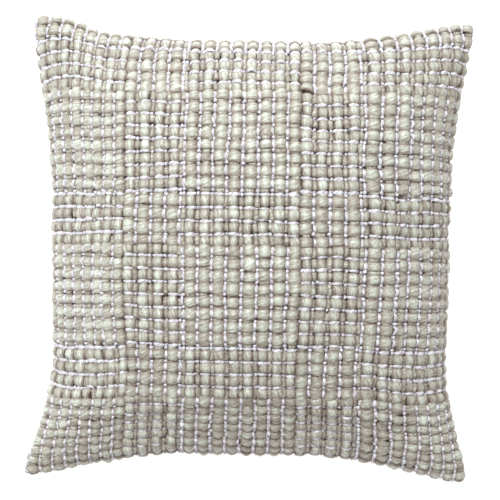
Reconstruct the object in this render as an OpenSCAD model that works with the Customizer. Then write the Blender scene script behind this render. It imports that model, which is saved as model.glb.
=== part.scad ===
// Square throw pillow: a sewn cover with a chunky woven front, a plain back and a
// zipper along the lower edge, around a separate stuffed insert.
// It lies on its back. +Z comes out of the woven front, +Y points to the top edge
// and the zipper runs along the -Y edge. All lengths are in millimetres.

/* [Cover] */
// Width of the filled cover from ear to ear
cover_w = 480; // [440:5:540]
// Height of the filled cover from ear to ear
cover_h = 500; // [460:5:560]
// How far the filling pulls in the middle of the left and right sides
side_pull = 26; // [10:1:30]
// How far the filling pulls in the middle of the top and bottom edges
end_pull = 29; // [10:1:32]
// Where the left and right sides start to flare out to the ears, as a share of the half side
side_from = 0.2; // [0.1:0.05:0.5]
// Where the top and bottom edges start to flare out to the ears, as a share of the half side
end_from = 0.3; // [0.2:0.05:0.5]
// How much the tips of the ears are rounded
ear_round = 6; // [2:1:9]
// Height of the woven front's crown above the seam
front_crown = 92; // [70:1:110]
// Height of the seam above what the pillow lies on
seam_z = 72; // [55:1:85]
// Fullness of the crown towards the edges
fullness = 2.2; // [1.9:0.1:2.8]

/* [Fabrics] */
// Thickness of the chunky woven front in the middle
weave_t = 8; // [5:0.5:10]
// Thickness of the woven front where it is sewn
weave_edge_t = 3; // [2:0.5:3.5]
// Thickness of the front's backing cloth
lining_t = 1; // [0.6:0.1:1.2]
// Thickness of the plain back
back_t = 1.5; // [1:0.1:2]
// Width of the seam allowance turned inside the cover
allowance_w = 9; // [6:0.5:9]
// Thickness of the insert's own cloth
insert_t = 1; // [0.6:0.1:1.2]
// How far the insert's corners reach into the cover's ears, as a share
insert_ears = 0.3; // [0:0.05:0.35]

/* [Zipper] */
// Length of the opening the zipper closes
slot_l = 286; // [240:2:300]
// Height of the opening between the two folded edges
slot_h = 11; // [10.6:0.2:13]
// How far the slider travels from closed to open
travel = 260; // [100:5:260]
// Width of one row of coils
coil_w = 2.2; // [2:0.1:2.4]
// Length of the pull tab from its bar to its tip
pull_l = 25; // [18:1:30]

/* [Hidden] */

cells = 24;              // cells across each large surface
crown_power = 0.6;
flare_power = 1.5;
seat_soft = 14;          // how gradually the back flattens where it lies
seam_gap = 0.05;
depth = seam_z - seam_gap;
back_crown = depth + seat_soft + 6;
slot_fade = 18;

// Insets of the layers from the cover's outline, and how much lower their crowns are
lining_d = weave_edge_t + 0.4;
lining_drop = weave_t + 0.4;
back_d = 1;
insert_d = 15;
insert_drop = lining_drop + lining_t + 0.8;
insert_back_drop = back_t + 0.8;
fill_d = insert_d + insert_t + 5;
ring_d = lining_d + lining_t + 0.7;
ring_round = 22;

// The zipper's chain: its middle line, its rows and its tapes
chain_y = -(cover_h / 2 - end_pull) + weave_edge_t + 1.1;
row_in = 0.8;
row_out = row_in + coil_w;
coil_half = 1.1;
tape_t = 0.6;
tape_y = chain_y + coil_half + 0.05;
tape_bend = row_out + 1.75;
tape_run = 8.5;
chain_end = slot_l / 2 + 4;
slider_x = slot_l / 2 - 13;
slider_l = 11;
plate_t = 1.2;
plate_out = chain_y - coil_half - 0.3;
plate_in = tape_y + tape_t + 0.3;
flange_in = row_out + 0.3;
flange_out = flange_in + 1;
pin_y = plate_out - plate_t - 1;
pin_r = 0.7;
pull_half = 3.1;

// ---------- shape of the filled cover ----------

function smooth(t) = let (c = min(1, max(0, t))) c * c * (3 - 2 * c);
function flare(s, from) = s <= from ? 0 : pow((s - from) / (1 - from), flare_power);
// The rounding takes a little off the ears, so the square they are cut from is larger.
ear_reach = 0.8 * ear_round;
function half_w(v, d, e) = cover_w / 2 - d - side_pull + e * (side_pull + ear_reach) * flare(abs(v), side_from);
function half_h(u, d, e) = cover_h / 2 - d - end_pull + e * (end_pull + ear_reach) * flare(abs(u), end_from);
function ear(u, v, r) = r * pow(abs(u * v), 24);
function at_x(u, v, d, r, e = 1) = sign(u) * (abs(u) * half_w(v, d, e) - ear(u, v, r));
function at_y(u, v, d, r, e = 1) = sign(v) * (abs(v) * half_h(u, d, e) - ear(u, v, r));
function side(s) = pow(max(0, 1 - pow(abs(s), fullness)), crown_power);
function puff(u, v) = side(u) * side(v);

// The back lies flat where the pillow's weight presses it down.
function settle(h) =
    h <= depth - seat_soft ? h :
    h >= depth + seat_soft ? depth :
    let (s = (h - depth + seat_soft) / (2 * seat_soft)) depth - seat_soft + 2 * seat_soft * (s - s * s / 2);

// The pillow bears on four places of its flat patch and is a hair clear between them.
function arch(u, v) = 0.3 * smooth((puff(u, v) - 0.7) / 0.2) * (1 - min(1, abs(u * v) / 0.066));

// The two folded edges part along the zipper.
function lift(u, v, d) =
    slot_h / 2 * (1 - smooth((abs(at_x(u, v, d, ear_round)) - slot_l / 2) / slot_fade)) * (1 - smooth((v + 1) / 0.12));

function front_pt(u, v, d, drop, open, e) =
    [at_x(u, v, d, ear_round, e), at_y(u, v, d, ear_round, e),
    seam_z + seam_gap + open * lift(u, v, d) + (front_crown - drop) * puff(u, v)];
function back_pt(u, v, d, drop, open, e) =
    [at_x(u, v, d, ear_round, e), at_y(u, v, d, ear_round, e),
    depth - open * lift(u, v, d) - settle(back_crown * puff(u, v)) * (1 - drop / depth) + arch(u, v)];

// Stations across a side, closer together towards the seams
stations = [for (i = [0:cells]) sin(90 * (2 * i / cells - 1))];
function span(a, b, n) = [for (i = [0:n]) a + (b - a) * i / n];

function front_sheet(us, vs, d, drop, open, e = 1) =
    [for (u = us) for (v = vs) front_pt(u, v, d, drop, open, e)];
function back_sheet(us, vs, d, drop, open, e = 1) =
    [for (u = us) for (v = vs) back_pt(u, v, d, drop, open, e)];

// ---------- closed skins between two grids of points ----------

function flip(f, on) = on ? [f[2], f[1], f[0]] : f;
function two(a, b, c, d, on) = [flip([a, b, c], on), flip([a, c, d], on)];
function cell_faces(i, j, nu, nv, k, on) =
    let (a = k + i * (nv + 1) + j, b = a + nv + 1, c = b + 1, d = a + 1)
    ((i < nu / 2) == (j < nv / 2)) ? two(a, d, c, b, on) : two(d, c, b, a, on);
function edge_u(j, nu, nv, k, i, on) =
    let (a = i * (nv + 1) + j)
    two(a + 1, a, a + k, a + 1 + k, on);
function edge_v(i, nu, nv, k, j, on) =
    let (a = i * (nv + 1) + j, b = a + nv + 1)
    two(a, b, b + k, a + k, on);
function skin_faces(nu, nv, down) =
    let (k = (nu + 1) * (nv + 1))
    concat(
        [for (i = [0:nu - 1]) for (j = [0:nv - 1]) for (f = cell_faces(i, j, nu, nv, 0, down)) f],
        [for (i = [0:nu - 1]) for (j = [0:nv - 1]) for (f = cell_faces(i, j, nu, nv, k, !down)) f],
        [for (i = [0:nu - 1]) for (f = edge_v(i, nu, nv, k, 0, down)) f],
        [for (i = [0:nu - 1]) for (f = edge_v(i, nu, nv, k, nv, !down)) f],
        [for (j = [0:nv - 1]) for (f = edge_u(j, nu, nv, k, 0, down)) f],
        [for (j = [0:nv - 1]) for (f = edge_u(j, nu, nv, k, nu, !down)) f]);

module skin(outer, inner, nu, nv, down) {
    polyhedron(points = concat(outer, inner), faces = skin_faces(nu, nv, down), convexity = 6);
}

module front_skin(d, drop, thick_d, thick, open, e = 1) {
    skin(front_sheet(stations, stations, d, drop, open, e),
        front_sheet(stations, stations, d + thick_d, drop + thick, open, e), cells, cells, false);
}

module back_skin(d, drop, thick, open, e = 1) {
    skin(back_sheet(stations, stations, d, drop, open, e),
        back_sheet(stations, stations, d + thick, drop + thick, open, e), cells, cells, true);
}

// ---------- bands that follow the seam ----------

side_steps = 26;
start_u = (slot_l / 2 + 12) / (cover_w / 2 - side_pull);
// Once round the pillow in the seam's plane, leaving out the stretch with the zipper
round_path = concat(
    [for (u = span(start_u, 1, 8)) [u, -1]],
    [for (i = [1:side_steps]) [1, sin(90 * (2 * i / side_steps - 1))]],
    [for (i = [1:side_steps]) [-sin(90 * (2 * i / side_steps - 1)), 1]],
    [for (i = [1:side_steps]) [-1, -sin(90 * (2 * i / side_steps - 1))]],
    [for (u = span(-1, -start_u, 8)) if (u > -1) [u, -1]]);
closed_path = concat(
    [for (i = [1:side_steps]) [sin(90 * (2 * i / side_steps - 1)), -1]],
    [for (i = [1:side_steps]) [1, sin(90 * (2 * i / side_steps - 1))]],
    [for (i = [1:side_steps]) [-sin(90 * (2 * i / side_steps - 1)), 1]],
    [for (i = [1:side_steps]) [-1, -sin(90 * (2 * i / side_steps - 1))]]);

function band_points(path, profile, r, e) =
    [for (p = path) for (q = profile)
        [at_x(p[0], p[1], q[0], r, e), at_y(p[0], p[1], q[0], r, e), seam_z + q[1]]];
function band_faces(n, m, closed) = concat(
    [for (i = [0:(closed ? n - 1 : n - 2)]) for (j = [0:m - 1])
        let (a = i * m + j, b = i * m + (j + 1) % m, k = (i + 1) % n, c = k * m + (j + 1) % m, d = k * m + j)
        for (f = [[a, b, c], [a, c, d]]) f],
    closed ? [] : [[for (j = [0:m - 1]) m - 1 - j], [for (j = [0:m - 1]) (n - 1) * m + j]]);

// The profile is given as inset and height, going round so that the band closes outwards.
module band(path, profile, closed, r = ring_round, e = 1) {
    polyhedron(points = band_points(path, profile, r, e),
        faces = band_faces(len(path), len(profile), closed), convexity = 8);
}

function ring_box(d0, d1, z0, z1) = [[d0, z0], [d0, z1], [d1, z1], [d1, z0]];
function ring_tube(d, z, r) = [for (i = [0:7]) [d - r * cos(45 * i), z + r * sin(45 * i)]];

// ---------- straight pieces ----------

module along_x(x0, x1) {
    translate([x0, 0, 0]) rotate([90, 0, 90]) linear_extrude(x1 - x0) children();
}

module facing(y0, y1) {
    translate([0, y1, 0]) rotate([90, 0, 0]) linear_extrude(y1 - y0) children();
}

// Mirrors a piece drawn above the seam's plane to below it.
module below() {
    translate([0, 0, seam_z]) mirror([0, 0, 1]) translate([0, 0, -seam_z]) children();
}

// ---------- cover ----------

module cover_front_panel() {
    color("#c8c4b4") front_skin(0, 0, weave_edge_t, weave_t, 1);
}

module cover_front_lining() {
    color("#ded9cc") front_skin(lining_d, lining_drop, lining_t, lining_t, 1);
}

module cover_back_panel() {
    color("#cfcabb") back_skin(back_d, 0, back_t, 1);
}

module cover_seam_allowance() {
    color("#c4bfae") band(round_path, ring_box(ring_d, ring_d + allowance_w, -0.8, 0.8), false);
}

module cover_seam_thread() {
    color("#e9e6da") band(round_path, ring_tube(ring_d + 1.4, 0.8 + 0.05 + 0.4, 0.4), false);
}

// Overlocked thread along the cut edge of the seam allowance
module cover_overlock_thread() {
    e = ring_d + allowance_w;
    color("#e9e6da") band(round_path, ring_box(e + 0.05, e + 0.75, -1.1, 1.1), false);
}

// ---------- zipper ----------

// Flat beside the coils, then turned in behind the folded edge of the panel
module tape_profile() {
    s = tape_t * sqrt(0.5);
    polygon([[tape_y, seam_z + row_in + 0.1], [tape_y, seam_z + tape_bend],
        [tape_y + tape_run, seam_z + tape_bend + tape_run],
        [tape_y + tape_run + s, seam_z + tape_bend + tape_run - s],
        [tape_y + tape_t, seam_z + tape_bend - 2 * s + tape_t],
        [tape_y + tape_t, seam_z + row_in + 0.1]]);
}

module zipper_tape_front() {
    color("#d8d3c4") along_x(-chain_end, chain_end) tape_profile();
}

module zipper_tape_back() {
    color("#d8d3c4") below() along_x(-chain_end, chain_end) tape_profile();
}

module coil_profile() {
    translate([chain_y, seam_z + (row_in + row_out) / 2])
        offset(r = 0.6, $fn = 24) square([2 * coil_half - 1.2, coil_w - 1.2], center = true);
}

module zipper_coil_front() {
    color("#e6e2d6") along_x(-chain_end, chain_end) coil_profile();
}

module zipper_coil_back() {
    color("#e6e2d6") below() along_x(-chain_end, chain_end) coil_profile();
}

// A folded strip clamped on one row of coils and its tape
module stop_profile() {
    a = chain_y - coil_half - 0.05;
    b = tape_y + tape_t + 0.05;
    polygon([[a - 0.8, seam_z + 0.1], [b + 0.6, seam_z + 0.1], [b + 0.6, seam_z + row_out + 0.3],
        [b, seam_z + row_out + 0.3], [b, seam_z + row_in - 0.05], [a, seam_z + row_in - 0.05],
        [a, seam_z + row_out + 0.3], [a - 0.8, seam_z + row_out + 0.3]]);
}

module zipper_top_stop_front() {
    color("#b9bbbd") along_x(slider_x + slider_l / 2 + 1, slider_x + slider_l / 2 + 3) stop_profile();
}

module zipper_top_stop_back() {
    color("#b9bbbd") below()
        along_x(slider_x + slider_l / 2 + 1, slider_x + slider_l / 2 + 3) stop_profile();
}

// One staple across both rows at the end where the zipper opens
module zipper_bottom_stop() {
    a = chain_y - coil_half - 0.05;
    b = tape_y + tape_t + 0.05;
    x1 = slider_x - travel - slider_l / 2 - 1;
    color("#b9bbbd") along_x(x1 - 2, x1) union() {
        translate([a - 0.8, seam_z - row_out - 0.3]) square([0.8, 2 * row_out + 0.6]);
        translate([b, seam_z - row_out - 0.3]) square([0.6, 2 * row_out + 0.6]);
        translate([a - 0.4, seam_z - row_in + 0.05]) square([b - a + 0.7, 2 * row_in - 0.1]);
    }
}

module stitch_line() {
    translate([-chain_end + 2, tape_y + 5 - 0.4, seam_z + tape_bend + 5 + 0.4])
        rotate([0, 90, 0]) cylinder(h = 2 * chain_end - 4, r = 0.4, $fn = 16);
}

module zipper_stitch_front() {
    color("#e9e6da") stitch_line();
}

module zipper_stitch_back() {
    color("#e9e6da") below() stitch_line();
}

// Two plates around the chain, rails that hold the rows, a bridge between the rows
// and a crown for the pull
module zipper_slider() {
    color("#a9abad") translate([slider_x, 0, 0]) union() {
        facing(plate_out - plate_t, plate_out) translate([0, seam_z]) offset(r = 1, $fn = 24)
            polygon([[-slider_l / 2 + 1, -flange_out + 1.3], [slider_l / 2 - 3, -flange_out + 1],
                [slider_l / 2 - 1, -flange_out + 2], [slider_l / 2 - 1, flange_out - 2],
                [slider_l / 2 - 3, flange_out - 1], [-slider_l / 2 + 1, flange_out - 1.3]]);
        facing(plate_in, plate_in + plate_t) translate([0, seam_z]) offset(r = 1, $fn = 24)
            square([slider_l - 2, 2 * flange_out - 2], center = true);
        for (s = [-1, 1])
            translate([-slider_l / 2 + 1.2, plate_out - 0.4, seam_z + s * (flange_in + flange_out) / 2 - 0.5])
                cube([slider_l - 3.4, tape_y - 0.3 - plate_out + 0.4, 1]);
        translate([2, plate_out - 0.4, seam_z - 0.5]) cube([2.6, plate_in - plate_out + 0.8, 1]);
        for (s = [-1, 1])
            translate([s * 3.2 - 0.5, pin_y - 1.8, seam_z - 1.2]) cube([1, 3.3, 2.4]);
        translate([-3.7, pin_y - 2, seam_z - 1.2]) cube([7.4, 1, 2.4]);
    }
}

// Flat tab with an eye at the crown, a round bar through it and a small hole at its tip
module zipper_pull() {
    color("#b3b5b7") translate([slider_x, pin_y, seam_z]) union() {
        facing(-0.6, 0.6) difference() {
            union() {
                translate([-10, -pull_half]) square([10, 2 * pull_half]);
                translate([-pull_l + 2.4, 0]) offset(r = 2, $fn = 32)
                    polygon([[0.4, -pull_half + 2.6], [pull_l - 9, -pull_half + 2],
                        [pull_l - 9, pull_half - 2], [0.4, pull_half - 2.6]]);
            }
            translate([-6, -1.65]) square([12, 3.3]);
            translate([-pull_l + 4.4, 0]) circle(d = 2.4, $fn = 32);
        }
        translate([0, 0, -pull_half]) cylinder(h = 2 * pull_half, r = pin_r, $fn = 32);
    }
}

// ---------- insert ----------

module insert_shell_front() {
    color("#f3f2ee") front_skin(insert_d, insert_drop, insert_t, insert_t, 0, insert_ears);
}

module insert_shell_back() {
    color("#f3f2ee") back_skin(insert_d, insert_back_drop, insert_t, 0, insert_ears);
}

// The insert's closed seam, turned inside its shell
module insert_seam() {
    d = insert_d + insert_t + 0.3;
    color("#ebe9e2") band(closed_path, ring_box(d, d + 4, -0.6, 0.6), true, ear_round, insert_ears);
}

module insert_fill() {
    color("#fafafa") skin(
        front_sheet(stations, stations, fill_d, insert_drop + insert_t + 0.4, 0, insert_ears) + lift_all(0.5),
        back_sheet(stations, stations, fill_d, insert_back_drop + insert_t + 0.4, 0, insert_ears),
        cells, cells, false);
}
function lift_all(z) = [for (u = stations) for (v = stations) [0, 0, z * (1 - puff(u, v))]];

// ---------- labels, both blank ----------

module care_label() {
    us = [-0.9985, -0.994, -0.985, -0.97, -0.95, -0.93];
    vs = span(0.04, 0.2, 4);
    color("#f7f6f2") skin(back_sheet(us, vs, 9, back_t + 0.2, 0), back_sheet(us, vs, 9.4, back_t + 0.5, 0), 5, 4, true);
}

module insert_label() {
    us = span(0.3, 0.42, 4);
    vs = [0.93, 0.95, 0.97, 0.985, 0.994, 0.9985];
    color("#f7f6f2") skin(back_sheet(us, vs, 12.6, back_t + 0.2, 0), back_sheet(us, vs, 13, back_t + 0.5, 0), 4, 5, true);
}

cover_front_panel();
cover_front_lining();
cover_back_panel();
cover_seam_allowance();
cover_seam_thread();
cover_overlock_thread();
zipper_tape_front();
zipper_tape_back();
zipper_coil_front();
zipper_coil_back();
zipper_top_stop_front();
zipper_top_stop_back();
zipper_bottom_stop();
zipper_stitch_front();
zipper_stitch_back();
zipper_slider();
zipper_pull();
insert_shell_front();
insert_shell_back();
insert_seam();
insert_fill();
care_label();
insert_label();
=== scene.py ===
import bpy
import math
import numpy as np
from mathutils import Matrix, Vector


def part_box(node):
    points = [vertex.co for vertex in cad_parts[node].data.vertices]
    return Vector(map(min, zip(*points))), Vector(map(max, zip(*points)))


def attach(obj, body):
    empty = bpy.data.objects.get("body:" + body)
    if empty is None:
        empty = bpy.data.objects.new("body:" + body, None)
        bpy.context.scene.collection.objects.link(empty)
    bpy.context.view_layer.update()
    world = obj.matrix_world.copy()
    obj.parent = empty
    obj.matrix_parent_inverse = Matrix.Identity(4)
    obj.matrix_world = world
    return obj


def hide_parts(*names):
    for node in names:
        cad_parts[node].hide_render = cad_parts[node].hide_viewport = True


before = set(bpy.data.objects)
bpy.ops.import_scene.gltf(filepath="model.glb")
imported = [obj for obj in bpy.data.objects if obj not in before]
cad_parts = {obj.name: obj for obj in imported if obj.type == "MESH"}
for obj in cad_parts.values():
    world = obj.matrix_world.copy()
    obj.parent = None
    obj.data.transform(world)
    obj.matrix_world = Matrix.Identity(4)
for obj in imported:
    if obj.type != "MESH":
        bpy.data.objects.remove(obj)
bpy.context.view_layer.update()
MM = 0.001

# ---------- the filled cover's shape: the CAD's, with a less even outline ----------

panel_lo, panel_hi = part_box("cover_front_panel")
# Half sizes from ear to ear, the seam's height and the crown above it
HALF_W = (panel_hi.x - panel_lo.x) / 2 - 0.2 * MM
HALF_H = (panel_hi.y - panel_lo.y) / 2 + 0.2 * MM
SEAM = panel_lo.z - 0.05 * MM
CROWN = panel_hi.z - SEAM
# How far the filling draws the sides and the ends in, and where the ears begin to flare out again
PULL_X = 26 * MM
PULL_Y = 29 * MM
SIDE_FROM = 0.2
END_FROM = 0.3
EAR_ROUND = 6 * MM
EAR_REACH = 0.8 * EAR_ROUND
EAR_POWER = 24
INSERT_EARS = 0.3
# The seen outline isn't even: what each side is drawn in by, more or less than that
UNEVEN_X = 2.0 * MM
UNEVEN_LEFT = 3.0 * MM
UNEVEN_RIGHT = 2.0 * MM
UNEVEN_TOP = 5.5 * MM
# Where these grow from, up the left side and down the right one, and over what stretch
LEFT_GROWS = (-0.4, 0.5)
RIGHT_GROWS = (0.3, 0.6)
# The lower ears and the upper right one flare later, and the lower left one reaches further out
LOWER_LATER = 0.3
UPPER_RIGHT_LATER = 0.18
EAR_EXTRA = 4.0 * MM
# The upper left ear is blunt: its share of a steeper edge, which rises over this stretch
BLUNT = 0.4
BLUNT_FROM = 0.66
BLUNT_OVER = 0.22
# The puffed section
PUFF_POWER = 2.2
PUFF_ROOT = 0.6
DEPTH = SEAM - 0.05 * MM
# The back is softly flattened where it lies, with a low arch between the places it bears on
SOFT = 14 * MM
BACK_CROWN = DEPTH + 20 * MM
ARCH = 0.3 * MM
ARCH_FROM = 0.7
ARCH_OVER = 0.2
FEET = 0.066
# The zipper's slot: half its height, half its length, how it closes at its ends and how far in it reaches
SLOT_HALF = 5.5 * MM
SLOT_L = 143 * MM
SLOT_FADE = 18 * MM
SLOT_IN = 0.12
# One panel's half size, flat
CLOTH = 254 * MM


def unit(v):
    """Vectors of length 1 in the same directions."""
    return v / (np.linalg.norm(v, axis=-1, keepdims=True) + 1e-12)


def run_along(points):
    """Distances of a line's points from its start, along it."""
    return np.concatenate([[0], np.cumsum(np.linalg.norm(np.diff(points, axis=0), axis=1))])


def smooth(t):
    """An even step from 0 to 1."""
    c = np.clip(t, 0, 1)
    return c * c * (3 - 2 * c)


def flare(s, start):
    """How far an edge has turned out towards the ear at s."""
    return np.maximum(0, (np.abs(s) - start) / (1 - start)) ** 1.5


def at_xy(u, v, d, ears=1.0, tip=EAR_ROUND):
    """Places seen from above of u and v in [-1, 1], d inside the outline, with a share of the full ears."""
    left, right = u < 0, u > 0
    grown_left = smooth((v - LEFT_GROWS[0]) / LEFT_GROWS[1]) * left
    grown_right = smooth((RIGHT_GROWS[0] - v) / RIGHT_GROWS[1]) * right
    pull_x = (PULL_X - np.sign(u) * UNEVEN_X * ears - UNEVEN_LEFT * ears * grown_left
              + UNEVEN_RIGHT * ears * grown_right)
    from_x = SIDE_FROM + ears * np.where(v < 0, LOWER_LATER, np.where(right, UPPER_RIGHT_LATER, 0))
    reach = EAR_REACH + EAR_EXTRA * ears * (left & (v < 0))
    w = HALF_W - d - pull_x + (pull_x + reach) * ears * flare(v, from_x)
    pull_y = PULL_Y - UNEVEN_TOP * ears * (v > 0)
    blunt = ears * (left & (v > 0)) * BLUNT
    rise = flare(u, END_FROM) * (1 - blunt) + smooth((np.abs(u) - BLUNT_FROM) / BLUNT_OVER) * blunt
    h = HALF_H - d - pull_y + (pull_y + EAR_REACH) * ears * rise
    ear = tip * np.abs(u * v) ** EAR_POWER
    return np.sign(u) * (np.abs(u) * w - ear), np.sign(v) * (np.abs(v) * h - ear)


def puff(u, v):
    """The filled height's share: 1 in the middle and 0 at the seam."""
    def side(s):
        return np.maximum(0, 1 - np.abs(s) ** PUFF_POWER) ** PUFF_ROOT
    return side(u) * side(v)


def lift(x, v):
    """How far a panel's edge stands off the seam's plane at the zipper's slot."""
    return SLOT_HALF * (1 - smooth((np.abs(x) - SLOT_L) / SLOT_FADE)) * (1 - smooth((v + 1) / SLOT_IN))


def settle(h):
    """Eases a depth below the seam off to the ground."""
    s = np.clip((h - DEPTH + SOFT) / (2 * SOFT), 0, 1)
    return np.where(h <= DEPTH - SOFT, h, DEPTH - SOFT + 2 * SOFT * (s - s * s / 2))


def front(u, v, d, drop, rim=0.0, slot=1.0, ears=1.0):
    """Points of a front skin, d inside the outline and drop below the crown, its edge rim above the seam."""
    x, y = at_xy(u, v, d, ears)
    z = SEAM + rim + slot * lift(x, v) + (CROWN - rim - drop) * puff(u, v)
    return np.stack([x, y, z], -1)


def back(u, v, d, drop, slot=1.0, ears=1.0):
    """Points of a back skin, d inside the outline and drop above the outer one."""
    x, y = at_xy(u, v, d, ears)
    arch = ARCH * smooth((puff(u, v) - ARCH_FROM) / ARCH_OVER) * (1 - np.minimum(1, np.abs(u * v) / FEET))
    z = DEPTH - slot * lift(x, v) - settle(BACK_CROWN * puff(u, v)) * (1 - drop / DEPTH) + arch
    return np.stack([x, y, z], -1)


def read_at(table, x, y):
    """Values of a table over [-1, 1] squared at any points."""
    n = table.shape[0] - 1
    gx = np.clip((x + 1) / 2 * n, 0, n - 1e-9)
    gy = np.clip((y + 1) / 2 * n, 0, n - 1e-9)
    i, j = gx.astype(int), gy.astype(int)
    fx, fy = gx - i, gy - j
    if table.ndim == 3:
        fx, fy = fx[..., None], fy[..., None]
    return (table[i, j] * (1 - fx) * (1 - fy) + table[i + 1, j] * fx * (1 - fy)
            + table[i, j + 1] * (1 - fx) * fy + table[i + 1, j + 1] * fx * fy)


N = 288
LAY_ROUNDS = 12
line = np.linspace(-1, 1, N + 1)
fine = np.sin(np.linspace(-1, 1, 4 * N + 1) * math.pi / 2)


def laid(shape):
    """Where the cloth's threads lie on a surface: evenly along the cloth, so closer where it slopes."""
    inv_u = np.zeros((N + 1, N + 1))
    inv_v = np.zeros((N + 1, N + 1))
    for k, f in enumerate(line):
        level = np.full_like(fine, f)
        for inv, p in ((inv_u, shape(fine, level)), (inv_v, shape(level, fine))):
            s = run_along(p)
            mid = s[2 * N]
            s = np.where(s < mid, (s - mid) / mid, (s - mid) / (s[-1] - mid))
            inv[:, k] = np.interp(line, s, fine)
    a, b = np.meshgrid(line, line, indexing="ij")
    u, v = a.copy(), b.copy()
    for _ in range(LAY_ROUNDS):
        u = read_at(inv_u, a, v)
        v = read_at(inv_v, b, u)
    return u, v


# Middle surface of the weave and outer surface of the back, over the cloth's own coordinates
WEAVE_D = 3.4 * MM
WEAVE_DROP = 3.4 * MM
WEAVE_RIM = 3.0 * MM
BACK_D = 1 * MM
front_u, front_v = laid(lambda u, v: front(u, v, WEAVE_D, WEAVE_DROP, WEAVE_RIM))
back_u, back_v = laid(lambda u, v: back(u, v, BACK_D, 0))
front_table = front(front_u, front_v, WEAVE_D, WEAVE_DROP, WEAVE_RIM)
back_table = back(back_u, back_v, BACK_D, 0)


def normals(table, up):
    """Outward normals of a table of points; up is 1 for the front and -1 for the back."""
    return unit(np.cross(np.gradient(table, axis=0), np.gradient(table, axis=1))) * up


# ---------- mesh helpers ----------

def grid_quads(nu, nv, start, flip):
    """Faces of a grid of points, whose first one is the point numbered start."""
    i, j = np.meshgrid(np.arange(nu - 1), np.arange(nv - 1), indexing="ij")
    a = start + i * nv + j
    q = np.stack([a, a + nv, a + nv + 1, a + 1], -1).reshape(-1, 4)
    return q[:, ::-1] if flip else q


def skin_quads(nu, nv, up):
    """Faces of a closed skin: two grids of points, the outer one first, and the rim between them."""
    k = nu * nv
    ids = np.arange(k).reshape(nu, nv)
    ring = np.concatenate([ids[:, 0], ids[-1, 1:], ids[-2::-1, -1], ids[0, -2:0:-1]])
    nxt = np.roll(ring, -1)
    rim = np.stack([ring, ring + k, nxt + k, nxt], -1)
    if up < 0:
        rim = rim[:, ::-1]
    return np.concatenate([grid_quads(nu, nv, 0, up < 0), grid_quads(nu, nv, k, up > 0), rim])


def tube_quads(rings, sides):
    """Faces of a closed tube: its side, and a flat cap at each end."""
    i, j = np.meshgrid(np.arange(rings - 1), np.arange(sides), indexing="ij")
    here, nxt = i * sides, (j + 1) % sides
    side = np.stack([here + j, here + sides + j, here + sides + nxt, here + nxt], -1).reshape(-1, 4)
    k = np.arange(sides // 2 - 1)
    cap = np.stack([k, k + 1, sides - k - 2, sides - k - 1], -1)
    return np.concatenate([side, cap, cap[:, ::-1] + (rings - 1) * sides])


def make(name, verts, quads, body="cover", shade=True, attrs=None, uv=None):
    """A mesh object from arrays; attrs are values per point, and uv is a pair per point."""
    m = bpy.data.meshes.new(name)
    verts = np.asarray(verts, np.float32).reshape(-1, 3)
    quads = np.asarray(quads, np.int32)
    m.vertices.add(len(verts))
    m.vertices.foreach_set("co", verts.ravel())
    m.loops.add(quads.size)
    m.loops.foreach_set("vertex_index", quads.ravel())
    m.polygons.add(len(quads))
    m.polygons.foreach_set("loop_start", np.arange(0, quads.size, quads.shape[1], dtype=np.int32))
    m.update(calc_edges=True)
    m.validate()
    m.polygons.foreach_set("use_smooth", np.full(len(m.polygons), shade))
    for key, val in (attrs or {}).items():
        val = np.asarray(val, np.float32)
        kind = "FLOAT_VECTOR" if val.ndim == 2 else "FLOAT"
        at = m.attributes.new(key, kind, "POINT")
        at.data.foreach_set("vector" if val.ndim == 2 else "value", val.ravel())
    if uv is not None:
        layer = m.uv_layers.new(name="cloth")
        idx = np.zeros(len(m.loops), np.int32)
        m.loops.foreach_get("vertex_index", idx)
        layer.data.foreach_set("uv", np.asarray(uv, np.float32)[idx].ravel())
    o = bpy.data.objects.new(name, m)
    bpy.context.scene.collection.objects.link(o)
    if body:
        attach(o, body)
    return o


def shell(name, outer, inner, up):
    """A closed skin between two grids of points, with the cloth's own coordinates in metres."""
    nu, nv = outer.shape[:2]
    a, b = np.meshgrid(np.linspace(-1, 1, nu), np.linspace(-1, 1, nv), indexing="ij")
    uv = np.stack([a * CLOTH, b * CLOTH], -1).reshape(-1, 2)
    verts = np.concatenate([outer.reshape(-1, 3), inner.reshape(-1, 3)])
    return make(name, verts, skin_quads(nu, nv, up), uv=np.concatenate([uv, uv]))


# ---------- cloth simulation: the middle of the filled cover swells a little ----------

SIM_STEP = 4
SIM_FRAMES = 20
# The least and the most that the simulated movement may add, on the front and on the back
FRONT_CAP = (-0.4 * MM, 3 * MM)
BACK_CAP = (-0.3 * MM, 5 * MM)
# Shares of the cloth over which a movement fades out at the seam and by the zipper
SEAM_CALM = 0.05
ZIP_CALM = 0.16


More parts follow.
